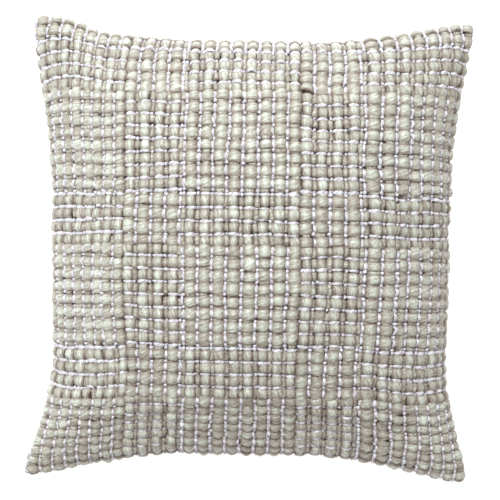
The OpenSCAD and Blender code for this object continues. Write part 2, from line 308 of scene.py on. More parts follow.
def simulate():
    """How far each point of the cover's two panels moves, on a coarse grid."""
    front_part = front_table[::SIM_STEP, ::SIM_STEP]
    back_part = back_table[::SIM_STEP, ::SIM_STEP]
    n = front_part.shape[0]
    k = n * n
    start = np.concatenate([front_part.reshape(-1, 3), back_part.reshape(-1, 3)])
    o = make("sim_tmp", start, skin_quads(n, n, 1), body=None)
    mod = o.modifiers.new("Cloth", "CLOTH")
    s = mod.settings
    s.quality = 6
    s.mass = 0.25
    s.tension_stiffness = 18
    s.compression_stiffness = 18
    s.shear_stiffness = 6
    s.bending_stiffness = 1.2
    s.use_pressure = True
    s.uniform_pressure_force = 4
    s.shrink_min = -0.035
    s.effector_weights.gravity = 0
    mod.collision_settings.use_collision = False
    mod.point_cache.frame_start = 1
    mod.point_cache.frame_end = SIM_FRAMES
    scene = bpy.context.scene
    for f in range(1, SIM_FRAMES + 1):
        scene.frame_set(f)
    ev = o.evaluated_get(bpy.context.evaluated_depsgraph_get())
    co = np.zeros(len(ev.data.vertices) * 3, np.float32)
    ev.data.vertices.foreach_get("co", co)
    moved = co.reshape(-1, 3).astype(float) - start
    scene.frame_set(1)
    mesh = o.data
    bpy.data.objects.remove(o)
    bpy.data.meshes.remove(mesh)
    return moved[:k].reshape(n, n, 3), moved[k:].reshape(n, n, 3)


def spread(coarse, table, up, low, high):
    """The simulated movement along the surface's normal, capped, on the full table."""
    a, b = np.meshgrid(line, line, indexing="ij")
    d = read_at(coarse, a, b)
    n = normals(table, up)
    h = np.sum(d * n, -1)
    h = np.clip(h - np.median(h), low, high)
    edge = smooth((1 - np.abs(a)) / SEAM_CALM) * smooth((1 - np.abs(b)) / SEAM_CALM)
    near_zip = smooth((b + 1) / ZIP_CALM)
    return n * (h * edge * near_zip)[..., None]


# Puckers: their spacing and height, and how far from the seam they fade and begin
PUCKER = 19 * MM
PUCKER_HIGH = 0.8 * MM
PUCKER_FADE = 16 * MM
PUCKER_FROM = 5 * MM
# Folds: height, how far from the ear they are highest, how far on they end, waves in a full turn round the
# ear, and the share of the cloth over which they fade out at the seam
FOLD_HIGH = 1.8 * MM
FOLD_AT = 45 * MM
FOLD_FADE = 110 * MM
FOLDS = 11
FOLD_CALM = 0.07


def gathers():
    """How far the back stands out in puckers along the seam and in folds that run out of the ears."""
    a, b = np.meshgrid(line, line, indexing="ij")
    p, q = 1 - np.abs(a), 1 - np.abs(b)
    out = np.zeros_like(a)
    for along, off, phase in ((b, p, 0.6), (a, q, 1.9)):
        drift = 1.4 * np.sin(7 * along + phase)
        wave = 0.5 + 0.5 * np.sin(along * 2 * math.pi * CLOTH / PUCKER + phase + drift)
        out += PUCKER_HIGH * wave * np.exp(-off * CLOTH / PUCKER_FADE) * smooth(off * CLOTH / PUCKER_FROM)
    reach = np.hypot(p, q) * CLOTH
    turn = np.arctan2(q, p)
    fold = 0.5 + 0.5 * np.sin(FOLDS * turn + 0.8 * np.sign(a) + 1.3 * np.sign(b))
    out += (FOLD_HIGH * fold * smooth(reach / FOLD_AT) * (1 - smooth((reach - FOLD_AT) / FOLD_FADE))
            * smooth(p / FOLD_CALM) * smooth(q / FOLD_CALM))
    past_zip = 8 * np.maximum(0, np.abs(a) - 0.72)
    return out * smooth((b + 1) / ZIP_CALM + past_zip)


# ---------- the cloth's final shape ----------

back_start = back_table.copy()
back_table = back_table + normals(back_table, -1) * gathers()[..., None]
move_f, move_b = simulate()
front_table = front_table + spread(move_f, front_table, 1, *FRONT_CAP)
back_table = back_table + spread(move_b, back_table, -1, *BACK_CAP)
back_table[..., 2] = np.maximum(back_table[..., 2], 0)
front_normal = normals(front_table, 1)

# ---------- the weave ----------

THIN, THICK = 0, 1


def order(blocks):
    """The kinds of the threads in turn, and how wide each one's lane is beside the usual width."""
    kinds, room = [], []
    for first, pairs, wide_from, wide_to in blocks:
        kinds += [first, 1 - first] * pairs
        room += list(np.repeat(np.linspace(wide_from, wide_to, pairs), 2))
    return np.array(kinds), np.array(room)


# Blocks: first thread (it turns over from block to block), pairs, and the lanes' width at the two edges
warp_kind, warp_room = order([
    (THIN, 8, 0.96, 0.85), (THICK, 4, 1.02, 1.02), (THIN, 8, 1.01, 1.01), (THICK, 4, 1.10, 1.10),
    (THIN, 8, 1.24, 0.82)])
weft_kind, weft_room = order([
    (THICK, 2, 0.92, 1.04), (THIN, 4, 1.13, 1.13), (THICK, 8, 1.07, 1.07), (THIN, 4, 1.08, 1.08),
    (THICK, 8, 1.05, 1.05), (THIN, 4, 1.11, 1.11), (THICK, 8, 0.95, 0.80)])
WARP_SHARE = {THIN: 0.23, THICK: 0.77}
WEFT_SHARE = {THIN: 0.29, THICK: 0.71}


def places(kinds, share, room):
    """Edges of each thread's lane over [-1, 1]."""
    c = np.concatenate([[0], np.cumsum(np.array([share[k] for k in kinds]) * room)])
    return c / c[-1] * 2 - 1


warp_edges = places(warp_kind, WARP_SHARE, warp_room)
weft_edges = -places(weft_kind, WEFT_SHARE, weft_room)
warp_mid = (warp_edges[1:] + warp_edges[:-1]) / 2
weft_mid = (weft_edges[1:] + weft_edges[:-1]) / 2


def soft_noise(shape, cells, seed):
    """Smooth random values over a table, about -1 to 1."""
    r = np.random.default_rng(seed)
    g = r.normal(0, 0.5, (cells + 1, cells + 1))
    x, y = np.meshgrid(np.linspace(0, cells, shape), np.linspace(0, cells, shape), indexing="ij")
    i, j = np.minimum(x.astype(int), cells - 1), np.minimum(y.astype(int), cells - 1)
    fx, fy = smooth(x - i), smooth(y - j)
    return (g[i, j] * (1 - fx) * (1 - fy) + g[i + 1, j] * fx * (1 - fy)
            + g[i, j + 1] * (1 - fx) * fy + g[i + 1, j + 1] * fx * fy)


def wander(seed):
    """How far the threads stray from their lanes: a broad drift and a finer one, still at the seam."""
    broad_cells, broad_mm = 9, 2.2
    finer_cells, finer_mm = 22, 1.2
    still = 8
    broad = soft_noise(N + 1, broad_cells, seed) * broad_mm * MM
    finer = soft_noise(N + 1, finer_cells, seed + 1) * finer_mm * MM
    return (broad + finer) * ((1 - line[:, None] ** still) * (1 - line[None, :] ** still))


wander_u = wander(11)
wander_v = wander(13)

# How many mm a thread runs over or under the one it crosses, by the kinds of the two
HIGH = {(THICK, THICK): (3.2, -2.4), (THICK, THIN): (2.5, -2.6),
        (THIN, THICK): (2.8, -3.0), (THIN, THIN): (2.3, -2.6)}
# A thick weft arches higher over a thick warp, and the thin warps beside it stand higher too
WEFT_EXTRA = 0.5
# Sections across a lane: place in the lane, share of the height, share of the width
WARP_OVER = [(0.02, -0.30, 0.88), (0.10, 0.32, 0.95), (0.28, 0.83, 1.0), (0.5, 1.0, 1.03),
             (0.72, 0.83, 1.0), (0.90, 0.32, 0.95), (0.98, -0.30, 0.88)]
WEFT_OVER = [(-0.01, -0.45, 0.98), (0.06, 0.05, 0.99), (0.17, 0.44, 1.0), (0.33, 0.80, 1.0), (0.5, 1.0, 1.01),
             (0.67, 0.80, 1.0), (0.83, 0.44, 1.0), (0.94, 0.05, 0.99), (1.01, -0.45, 0.98)]
UNDER_THICK = [(0.10, 0.75, 0.84), (0.5, 1.0, 0.88), (0.90, 0.75, 0.84)]
OVER_THIN = [(0.06, -0.30, 0.84), (0.28, 0.62, 0.87), (0.5, 1.0, 0.88),
             (0.72, 0.62, 0.87), (0.94, -0.30, 0.84)]
UNDER_THIN = [(0.5, 1.0, 0.72)]
THIN_OVER = [(0.05, -0.40, 0.72), (0.18, 0.42, 0.94), (0.34, 0.86, 1.08), (0.5, 1.0, 1.12),
             (0.66, 0.86, 1.08), (0.82, 0.42, 0.94), (0.95, -0.40, 0.72)]
THIN_DOT = [(0.06, -0.70, 0.55), (0.27, 0.55, 0.85), (0.5, 1.0, 1.0), (0.73, 0.55, 0.85), (0.94, -0.70, 0.55)]
# Points round a section
SIDES = {THICK: 14, THIN: 8}
# Widths of the threads where they lie on top
WARP_W = 11.9 * MM
WEFT_W = 12.3 * MM
THIN_WARP_W = 3.6 * MM
THIN_WEFT_W = 4.0 * MM
# and their full thickness
HEIGHT = {THICK: 6.4 * MM, THIN: 3.5 * MM}
# Thickness of a section as a share of HEIGHT: under a thread, over a thin one, and over a thick one on the
# bead's flank, with what its crown adds
FLAT_UNDER = 0.72
FLAT_OVER_THIN = 0.78
FLAT_FLANK = 0.84
FLAT_RISE = 0.16
# Spread of a thread's width, of a bead's height in mm and of its width, and the odds and size of a slub
WIDTH_SD = 0.035
TALL_SD = 0.46
FAT_SD = 0.10
SLUB_ODDS = 0.07
SLUB_FAT = 1.15
# How unevenly a thread lies in its lane: spread, and how many draws along it
SHIFT_SD = 0.7 * MM
SHIFTS = 30
# First seeds of the threads, and what is added for the draws of how they lie
WARP_SEED = 100
WEFT_SEED = 1100
SHIFT_SEED = 5000
# Thin threads stand out by this many mm where the cloth bends down to the seam, and less by this power at it
WEFT_OUT = 5.0
WARP_OUT = 2.6
CALM_POWER = 12
# Exponents of the sections' outlines: 1 for an ellipse, less for a fuller one
ROUND = 1.0
WEFT_FULL = 2 / 2.5
WARP_FULL = 2 / 2.3
# How fast the fibres wind round a thread, in radians to the mm
TWIST = {THICK: 0.065, THIN: 0.5}
# Each thread's noise starts this many mm on from the last one's
NOISE_STEP = 911.0
# How many mm lower a thick thread's sides count for its painted shade, by which power of the place across it,
# and how much higher a warp counts, so that it gets less painted shade
WEFT_SHADE = (3.0, 6)
WARP_SHADE = (3.4, 3)
WARP_GAIN = 0.5
# Sections nearer the seam than this are left out for one at the seam, of this height, width and thickness
SEAM_AT = 0.999
SEAM_SECTION = (0.2 * MM, 0.9, 0.9)
# A thread's turned end: share of its turn with the mm it has run back in, how far it sinks, width, thickness
# and height
END_TURN = ((0.4, 0.2), (0.8, 1.6), (1.0, 4.0), (1.0, 8.0))
END_SINK = 0.4 * MM
END_W = np.array([0.92, 0.9, 0.86, 0.7])
END_T = np.array([0.9, 0.85, 0.8, 0.5])
END_H = np.full(4, -1 * MM)


def yarn(along_u, index, seed):
    """One thread's sections: place on the cloth, height, width, thickness."""
    r = np.random.default_rng(seed)
    kinds, edges = (warp_kind, warp_edges) if along_u else (weft_kind, weft_edges)
    own = weft_kind[index] if along_u else warp_kind[index]
    at = weft_mid[index] if along_u else warp_mid[index]
    s, h, w, t = [], [], [], []
    base_w = r.normal(1, WIDTH_SD)
    for j, kind in enumerate(kinds):
        weft_over = (index + j) % 2 == 1
        over = weft_over if along_u else not weft_over
        up, down = HIGH[(own, kind)]
        if not over:
            rows = UNDER_THICK if kind == THICK else UNDER_THIN
        elif own == THIN:
            rows = THIN_OVER if kind == THICK else THIN_DOT
        elif kind == THIN:
            rows = OVER_THIN
        else:
            rows = WEFT_OVER if along_u else WARP_OVER
        tall = r.normal(0, TALL_SD) * MM
        fat = r.normal(1, FAT_SD) * (SLUB_FAT if r.random() < SLUB_ODDS else 1)
        e0, e1 = edges[j], edges[j + 1]
        for f, hs, ws in rows:
            s.append(e0 + (e1 - e0) * f)
            extra = WEFT_EXTRA if kind == THICK and along_u == (own == THICK) else 0
            level = (up + extra) * MM + tall if over else down * MM
            h.append(level * hs)
            w.append(ws * fat * base_w)
            over_flat = FLAT_FLANK + FLAT_RISE * hs if kind == THICK else FLAT_OVER_THIN
            t.append(over_flat if over else FLAT_UNDER)
    s, h, w, t = map(np.array, (s, h, w, t))
    if s[0] > s[-1]:
        s, h, w, t = s[::-1], h[::-1], w[::-1], t[::-1]
    return own, at, s, h, w, t


def end_turn(c, n, tan):
    """Middles and normals of the sections with which a thread rolls over the seam and turns inwards."""
    out = unit(unit(tan) * np.array([1, 1, 0]))
    full = math.acos(max(-1, min(1, float(-n[2]))))
    side_axis = unit(np.cross(n, out))
    middles, turned = [], []
    for share, run in END_TURN:
        ang = full * share
        turned.append(n * math.cos(ang) + np.cross(side_axis, n) * math.sin(ang))
        middles.append(c - out * run * MM - np.array([0, 0, END_SINK * share]))
    return np.array(middles), np.array(turned)


def section_axes(c, n):
    """The directions across a thread and out of the cloth at each section, from middles and normals."""
    tan = unit(np.gradient(c, axis=0))
    across = unit(np.cross(tan, n))
    out = np.cross(across, tan)
    # the turned ends keep the direction that the thread has just inside them
    for end, inside in ((slice(0, 4), across[5].copy()), (slice(-4, None), across[-6].copy())):
        across[end] = inside
        out[end] = unit(n[end] - inside * np.sum(n[end] * inside, axis=1, keepdims=True))
    return across, out


def strand(along_u, index, seed):
    """Points, faces and attributes of one thread, with its ends turned in at the seam."""
    own, at, s, h, w, t = yarn(along_u, index, seed)
    inside = (s > -SEAM_AT) & (s < SEAM_AT)
    s = np.concatenate([[-1], s[inside], [1]])
    h, w, t = (np.concatenate([[e], x[inside], [e]]) for x, e in zip((h, w, t), SEAM_SECTION))
    a = s if along_u else np.full_like(s, at)
    b = np.full_like(s, at) if along_u else s
    du, dv = read_at(wander_u, a, b) / CLOTH, read_at(wander_v, a, b) / CLOTH
    r = np.random.default_rng(seed + SHIFT_SEED)
    knots = np.linspace(0, len(s) - 1, SHIFTS)
    shift = np.interp(np.arange(len(s)), knots, r.normal(0, SHIFT_SD, SHIFTS)) / CLOTH
    a2 = np.clip(a + du + (0 if along_u else shift), -1, 1)
    b2 = np.clip(b + dv + (shift if along_u else 0), -1, 1)
    p = read_at(front_table, a2, b2)
    n = unit(read_at(front_normal, a2, b2))
    if own == THIN:
        calm_end = 1 - np.maximum(np.abs(a2), np.abs(b2)) ** CALM_POWER
        h = h + (WEFT_OUT if along_u else WARP_OUT) * MM * (1 - n[:, 2]) * (h > 0) * calm_end
    c = p + n * h[:, None]
    first_c, first_n = end_turn(c[0], n[0], p[0] - p[1])
    last_c, last_n = end_turn(c[-1], n[-1], p[-1] - p[-2])
    c = np.concatenate([first_c[::-1], c, last_c])
    n = np.concatenate([first_n[::-1], n, last_n])
    w = np.concatenate([END_W[::-1], w, END_W])
    t = np.concatenate([END_T[::-1], t, END_T])
    h = np.concatenate([END_H, h, END_H])
    across, out = section_axes(c, n)
    m = SIDES[own]
    angle = (np.arange(m) + 0.5) / m * 2 * math.pi
    full = ROUND if own == THIN else (WEFT_FULL if along_u else WARP_FULL)
    side = np.sign(np.cos(angle)) * np.abs(np.cos(angle)) ** full
    up = np.sign(np.sin(angle)) * np.abs(np.sin(angle)) ** full
    if along_u:
        wide = THIN_WEFT_W if own == THIN else WEFT_W * weft_room[index]
    else:
        wide = THIN_WARP_W if own == THIN else WARP_W * warp_room[index]
    rings = (c[:, None] + across[:, None] * (side[None, :, None] * w[:, None, None] * wide / 2)
             + out[:, None] * (up[None, :, None] * t[:, None, None] * HEIGHT[own] / 2))
    k = len(c)
    run = run_along(c) / MM
    twist = angle[None, :] - run[:, None] * TWIST[own]
    rad = wide / MM / 2
    along = np.repeat(run[:, None], m, 1) + index * NOISE_STEP
    fib = np.stack([along, rad * np.cos(twist), rad * np.sin(twist)], -1)
    # height above the cloth, which the material turns into painted shade; a thick thread's sides count lower,
    # so they are painted darker
    top = np.repeat(h[:, None], m, 1) / MM + up[None, :] * HEIGHT[own] / MM / 2
    if own == THICK:
        deep, power = WEFT_SHADE if along_u else WARP_SHADE
        top -= deep * np.abs(side[None, :]) ** power - (0 if along_u else WARP_GAIN)
    tone = np.full((k, m), r.normal(0, 1))
    return rings.reshape(-1, 3), tube_quads(k, m), fib.reshape(-1, 3), top.ravel(), tone.ravel()


def weave_piece(name, along_u, kind, first):
    """Half of the threads of one kind that run one way, as one piece, with what its material reads."""
    kinds = weft_kind if along_u else warp_kind
    vs, qs, fs, ts, ns, at = [], [], [], [], [], 0
    same = np.nonzero(kinds == kind)[0]
    half = (len(same) + 1) // 2
    for index in same[:half] if first else same[half:]:
        v, q, f, t, n = strand(along_u, int(index), (WEFT_SEED if along_u else WARP_SEED) + int(index))
        vs.append(v)
        qs.append(q + at)
        fs.append(f)
        ts.append(t)
        ns.append(n)
        at += len(v)
    o = make(name, np.concatenate(vs), np.concatenate(qs),
             attrs={"fib": np.concatenate(fs), "top": np.concatenate(ts), "tone": np.concatenate(ns)})
    return o


# ---------- materials ----------

class Nodes:
    """Short names for building a material's nodes."""

    def __init__(self, name):
        self.mat = bpy.data.materials.new(name)
        self.mat.use_nodes = True
        self.t = self.mat.node_tree
        self.bsdf = self.t.nodes["Principled BSDF"]

    def add(self, kind, **inputs):
        n = self.t.nodes.new(kind)
        for key, val in inputs.items():
            self.put(n, key, val)
        return n

    def put(self, node, key, val):
        """Sets or links an input by name, or by number as in i0."""
        by_number = key[0] == "i" and key[1:].isdigit()
        sock = node.inputs[int(key[1:]) if by_number else key.replace("_", " ")]
        if isinstance(val, bpy.types.NodeSocket):
            self.t.links.new(val, sock)
        else:
            sock.default_value = val

    def attr(self, name, out="Fac"):
        n = self.t.nodes.new("ShaderNodeAttribute")
        n.attribute_name = name
        return n.outputs[out]

    def math(self, op, a, b=0.0, c=None, clamp=False):
        n = self.t.nodes.new("ShaderNodeMath")
        n.operation = op
        n.use_clamp = clamp
        self.put(n, "i0", a)
        self.put(n, "i1", b)
        if c is not None:
            self.put(n, "i2", c)
        return n.outputs[0]

    def ramp(self, fac, lo, hi):
        """0 at lo and 1 at hi, straight between them and level past them."""
        n = self.t.nodes.new("ShaderNodeMapRange")
        self.put(n, "Value", fac)
        self.put(n, "From Min", lo)
        self.put(n, "From Max", hi)
        return n.outputs["Result"]

    def mix(self, fac, a, b, blend="MIX"):
        n = self.t.nodes.new("ShaderNodeMix")
        n.data_type = "RGBA"
        n.blend_type = blend
        self.put(n, "i0", fac)
        for s, val in ((n.inputs[6], a), (n.inputs[7], b)):
            if isinstance(val, bpy.types.NodeSocket):
                self.t.links.new(val, s)
            else:
                s.default_value = (*val, 1)
        return n.outputs[2]

    def noise(self, vec, scale, detail=3.0, rough=0.55):
        n = self.t.nodes.new("ShaderNodeTexNoise")
        self.put(n, "Vector", vec)
        self.put(n, "Scale", scale)
        self.put(n, "Detail", detail)
        self.put(n, "Roughness", rough)
        return n.outputs["Fac"]

    def stretch(self, vec, scale):
        n = self.t.nodes.new("ShaderNodeVectorMath")
        n.operation = "MULTIPLY"
        self.put(n, "i0", vec)
        n.inputs[1].default_value = scale
        return n.outputs[0]

    def bump(self, height, strength, distance):
        n = self.t.nodes.new("ShaderNodeBump")
        self.put(n, "Height", height)
        self.put(n, "Strength", strength)
        self.put(n, "Distance", distance)
        return n.outputs["Normal"]


# Shares in a yarn's colour of its middle colour, dark specks, light streaks and dark clouds, how dark the
# painted shade in a groove is, and the spread of the threads' tones
MID_SHARE = 0.15
SPECK_SHARE = 0.75
STREAK_SHARE = 0.4
CLOUD_SHARE = 0.25
GROOVE_PAINTED_SHADE = 0.62
TONE_SPREAD = 0.022


def yarn_material(name, light, mid, dark, painted_flank_shade, painted_crevice_shade, rise, streak, gloss, fibres, fleck, plies):
    """Twisted fibres that run along the thread, with painted shade: darker on its flanks and darkest down in
    the crevices.

    rise holds the heights in mm of crevices, flanks and crown, between which the painted shade fades, and
    fibres and fleck the streaks and specks to the mm.
    """
    g = Nodes(name)
    fib = g.attr("fib", "Vector")
    fine_n = g.noise(g.stretch(fib, (fibres * 0.22, fibres, fibres)), 1.0, 3.0, 0.6)
    coarse = g.noise(g.stretch(fib, (0.07, 0.30, 0.30)), 1.0, 2.0)
    cloud = g.noise(g.stretch(fib, (0.07, 0.05, 0.05)), 1.0, 2.0)
    base = g.mix(g.ramp(fine_n, 0.36, 0.62), dark, light)
    base = g.mix(MID_SHARE, base, mid)
    speck = g.noise(fib, fleck, 2.0, 0.7)
    base = g.mix(g.math("MULTIPLY", g.ramp(speck, 0.46, 0.64), SPECK_SHARE), base, dark)
    base = g.mix(g.math("MULTIPLY", g.ramp(coarse, 0.45, 0.75), STREAK_SHARE), base, light)
    base = g.mix(g.math("MULTIPLY", g.ramp(cloud, 0.5, 0.72), CLOUD_SHARE), base, dark)
    height = g.math("ADD", g.math("MULTIPLY", fine_n, 0.8), g.math("MULTIPLY", coarse, 0.3))
    height = g.math("ADD", height, g.math("MULTIPLY", speck, 0.5))
    if plies:
        # two plies twisted together: a groove that winds round the thread, bumped, with painted shade down in
        # it
        sep = g.add("ShaderNodeSeparateXYZ", i0=fib)
        groove = g.ramp(g.math("ABSOLUTE", sep.outputs[2]), 0.0, 0.55)
        base = g.mix(groove, tuple(c * GROOVE_PAINTED_SHADE for c in dark), base)
        height = g.math("ADD", height, groove)
    tone = g.math("MULTIPLY_ADD", g.attr("tone"), TONE_SPREAD, 1.0)
    scale = g.add("ShaderNodeVectorMath")
    scale.operation = "SCALE"
    g.put(scale, "i0", base)
    g.put(scale, "Scale", tone)
    top = g.attr("top")
    # painted shade: the flank colour darkens the thread where its top is low, and the crevice colour darkens
    # it further lower down
    col = g.mix(g.ramp(top, rise[2], rise[1]), scale.outputs[0], painted_flank_shade, "MULTIPLY")
    col = g.mix(g.ramp(top, rise[1], rise[0]), col, painted_crevice_shade)
    g.put(g.bsdf, "Base Color", col)
    g.put(g.bsdf, "Roughness", 0.5)
    g.put(g.bsdf, "Specular IOR Level", gloss)
    g.put(g.bsdf, "Normal", g.bump(height, streak, 0.9 * MM))
    return g.mat


def cloth_material(name, light, dark, pitch_mm, bump=0.4, slub=0.5):
    """Plain woven cloth: fine crossing threads with slubs, from the cloth's own coordinates."""
    g = Nodes(name)
    uv = g.add("ShaderNodeUVMap")
    uv.uv_map = "cloth"
    sep = g.add("ShaderNodeSeparateXYZ", i0=uv.outputs["UV"])
    k = 2 * math.pi / (pitch_mm * MM)
    long_x = g.noise(g.stretch(uv.outputs["UV"], (60, 900, 1)), 1.0, 3.0)
    long_y = g.noise(g.stretch(uv.outputs["UV"], (900, 60, 1)), 1.0, 3.0)
    wx = g.math("SINE", g.math("MULTIPLY", sep.outputs[0], k))
    wy = g.math("SINE", g.math("MULTIPLY", sep.outputs[1], k))
    weave = g.math("MULTIPLY", wx, wy)
    slubs = g.math("ADD", long_x, long_y)
    streaks = g.math("MULTIPLY", g.ramp(slubs, 0.8, 1.25), slub)
    fac = g.math("ADD", streaks, g.math("MULTIPLY", weave, 0.16), clamp=True)
    cloud = g.noise(uv.outputs["UV"], 14.0, 3.0)
    col = g.mix(fac, dark, light)
    col = g.mix(g.math("MULTIPLY", g.ramp(cloud, 0.4, 0.7), 0.2), col, light)
    g.put(g.bsdf, "Base Color", col)
    g.put(g.bsdf, "Roughness", 0.9)
    g.put(g.bsdf, "Specular IOR Level", 0.2)
    g.put(g.bsdf, "Sheen Weight", 0.15)
    height = g.math("ADD", slubs, g.math("MULTIPLY", weave, 0.35))
    g.put(g.bsdf, "Normal", g.bump(height, bump, 0.5 * MM))
    return g.mat


def object_material(name, light, dark, scale, rough, metallic=0.0, bump=0.2, stretch=(1, 1, 1), sheen=0.0):
    """A finish with fine variation from the object's own coordinates."""
    g = Nodes(name)
    tc = g.add("ShaderNodeTexCoord")
    vec = g.stretch(tc.outputs["Object"], stretch)
    n1 = g.noise(vec, scale, 4.0, 0.6)
    n2 = g.noise(vec, scale * 0.08, 2.0)
    col = g.mix(g.ramp(n1, 0.35, 0.65), dark, light)
    col = g.mix(g.math("MULTIPLY", g.ramp(n2, 0.4, 0.7), 0.3), col, dark)
    g.put(g.bsdf, "Base Color", col)
    g.put(g.bsdf, "Metallic", metallic)
    g.put(g.bsdf, "Roughness", g.math("MULTIPLY_ADD", n1, 0.15, rough - 0.07))
    g.put(g.bsdf, "Sheen Weight", sheen)
    g.put(g.bsdf, "Normal", g.bump(n1, bump, 0.2 * MM))
    return g.mat


def dress(o, mat):
    """Gives an object this one material."""
    o.data.materials.clear()
    o.data.materials.append(mat)


# painted shade: the flank and crevice colours darken each yarn on its sides and down between the threads
thick_mat = yarn_material(
    "thick_roving", light=(0.87, 0.95, 0.87), mid=(0.62, 0.60, 0.54), dark=(0.34, 0.286, 0.248),
    painted_flank_shade=(0.625, 0.515, 0.485), painted_crevice_shade=(0.075, 0.035, 0.027), rise=(-0.6, 4.7, 7.3),
    streak=0.85, gloss=0.9, fibres=0.5, fleck=0.8, plies=False)
thin_mat = yarn_material(
    "thin_yarn", light=(1.0, 0.97, 1.0), mid=(0.96, 0.92, 1.0), dark=(0.64, 0.58, 0.70),
    painted_flank_shade=(0.80, 0.74, 0.82), painted_crevice_shade=(0.15, 0.10, 0.11), rise=(-2.4, 0.2, 2.4),
    streak=0.7, gloss=0.4, fibres=0.8, fleck=1.1, plies=True)
back_mat = cloth_material("back_linen", (0.66, 0.63, 0.55), (0.46, 0.43, 0.36), 2.2)
lining_mat = cloth_material("lining_cloth", (0.42, 0.38, 0.33), (0.28, 0.25, 0.21), 1.8)
insert_mat = cloth_material("insert_cloth", (0.90, 0.90, 0.88), (0.78, 0.78, 0.76), 1.2, bump=0.2, slub=0.4)
thread_mat = object_material("sewing_thread", (0.82, 0.80, 0.73), (0.66, 0.63, 0.56), 900, 0.7, bump=0.3)
tape_mat = object_material("zipper_tape", (0.66, 0.63, 0.55), (0.50, 0.47, 0.40), 1500, 0.85, bump=0.3,
                           stretch=(0.15, 1, 1), sheen=0.2)
coil_mat = object_material("nylon_coil", (0.80, 0.78, 0.71), (0.66, 0.63, 0.56), 500, 0.35)
metal_mat = object_material("plated_metal", (0.78, 0.77, 0.75), (0.62, 0.61, 0.59), 700, 0.3, metallic=1.0,
                            bump=0.08, stretch=(0.2, 1, 1))
fill_mat = object_material("polyester_fibre", (0.95, 0.95, 0.94), (0.82, 0.82, 0.82), 120, 0.95, bump=0.8,
                           sheen=0.3)
label_mat = object_material("satin_label", (0.92, 0.91, 0.88), (0.84, 0.83, 0.80), 2500, 0.45, bump=0.1,
                            stretch=(0.2, 1, 1), sheen=0.3)

# ---------- pieces of the cover ----------

for name, along_u, kind, halves, mat in (
    ("warp_thick", False, THICK, ("left", "right"), thick_mat),
    ("weft_thick", True, THICK, ("upper", "lower"), thick_mat),
    ("warp_thin", False, THIN, ("left", "right"), thin_mat),
    ("weft_thin", True, THIN, ("upper", "lower"), thin_mat),
):
    for k, half_name in enumerate(halves):
        o = weave_piece("weave_" + name + "_" + half_name, along_u, kind, k == 0)
        dress(o, mat)
        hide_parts("cover_front_panel")


# ---------- stray fibres that stand off the yarns ----------

# How many draws there are on each half, and the radius
HAIRS = 6500
HAIR_SEED = 71
HAIR = 0.085 * MM
# A hair's length, its root's height above the cloth and its rise, all in mm, its arc in radians, its bend
HAIR_LONG = (3, 8)
HAIR_LOW = (4.2, 5.6)
HAIR_RISE = (0.8, 2.6)
HAIR_ARC = (1.3, 2.9)
BEND_SD = 0.35
# Places of its sections along it and their thickness
HAIR_AT = np.array([0, 0.33, 0.67, 1.0])
HAIR_TAPER = np.array([1.0, 1.0, 0.8, 0.3])
# There is no hair both below the first and within the second
ZIP_BELOW = -0.92
ZIP_WITHIN = 0.75


def stray(first, seed):
    """Fine curved hairs all over one half of the weave, none of them by the zipper."""
    r = np.random.default_rng(seed)
    a = r.uniform(-1, 0, HAIRS) if first else r.uniform(0, 1, HAIRS)
    b = r.uniform(-1, 1, HAIRS)
    far = (b > ZIP_BELOW) | (np.abs(a) > ZIP_WITHIN)
    a, b = a[far], b[far]
    k = len(a)
    n = unit(read_at(front_normal, a, b))
    way = r.normal(0, 1, (k, 3))
    way = unit(way - n * np.sum(way * n, axis=1, keepdims=True))
    side = np.cross(n, way)
    long = r.uniform(*HAIR_LONG, k) * MM
    low = r.uniform(*HAIR_LOW, k) * MM
    rise = r.uniform(*HAIR_RISE, k) * MM
    bend = r.normal(0, BEND_SD, k) * long
    t = HAIR_AT
    up = low[:, None] + rise[:, None] * np.sin(t * r.uniform(*HAIR_ARC, k)[:, None])
    p = (read_at(front_table, a, b)[:, None] + way[:, None] * (long[:, None] * t)[..., None]
         + side[:, None] * (bend[:, None] * t * t)[..., None] + n[:, None] * up[..., None])
    cut = np.array([[1, 0], [0, -1], [-1, 0], [0, 1]])
    cross = side[:, None, None] * cut[None, None, :, :1] + n[:, None, None] * cut[None, None, :, 1:]
    v = p[:, :, None] + cross * (HAIR_TAPER * HAIR)[None, :, None, None]
    one = tube_quads(len(t), len(cut))
    first_points = len(t) * len(cut) * np.arange(k)
    return v.reshape(-1, 3), (one[None] + first_points[:, None, None]).reshape(-1, 4)


fibre_mat = object_material("stray_fibre", (0.84, 0.85, 0.80), (0.66, 0.62, 0.56), 300, 0.6)
for k, half_name in enumerate(("left", "right")):
    o = make("weave_stray_fibres_" + half_name, *stray(k == 0, HAIR_SEED + k))
    dress(o, fibre_mat)
    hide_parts("cover_front_panel")

# ---------- cloths and filling ----------

# Faces of the skins: how far inside the outline and below the crown, or above the back's outer face, each
# lies, and how far the filling's front edge is above the seam
LINING = ((3.4 * MM, 8.4 * MM), (4.4 * MM, 9.4 * MM))
BACK_IN = (2.4 * MM, 1.5 * MM)
INSERT_FRONT = ((15 * MM, 10.2 * MM), (16 * MM, 11.2 * MM))
INSERT_BACK = ((15 * MM, 2.3 * MM), (16 * MM, 3.3 * MM))
FILL_FRONT = (21 * MM, 12.4 * MM, 0.3 * MM)
FILL_BACK = (21 * MM, 4.4 * MM)
# The back's inner face stays this high above the ground
BACK_THICK = 1.2 * MM
# The filling's uneven surface
FLUFF = 0.6 * MM
FLUFF_CELLS = 40
FLUFF_SEED = 31
# Every third point is enough for what is hidden, and every second one for the back
HIDDEN_STEP = 3
BACK_STEP = 2

# backing cloth, just under the weave
every = slice(None, None, HIDDEN_STEP)
hidden_u, hidden_v = front_u[every, every], front_v[every, every]
lining = shell("backing_cloth", *(front(hidden_u, hidden_v, *face) for face in LINING), 1)
dress(lining, lining_mat)
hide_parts("cover_front_lining")

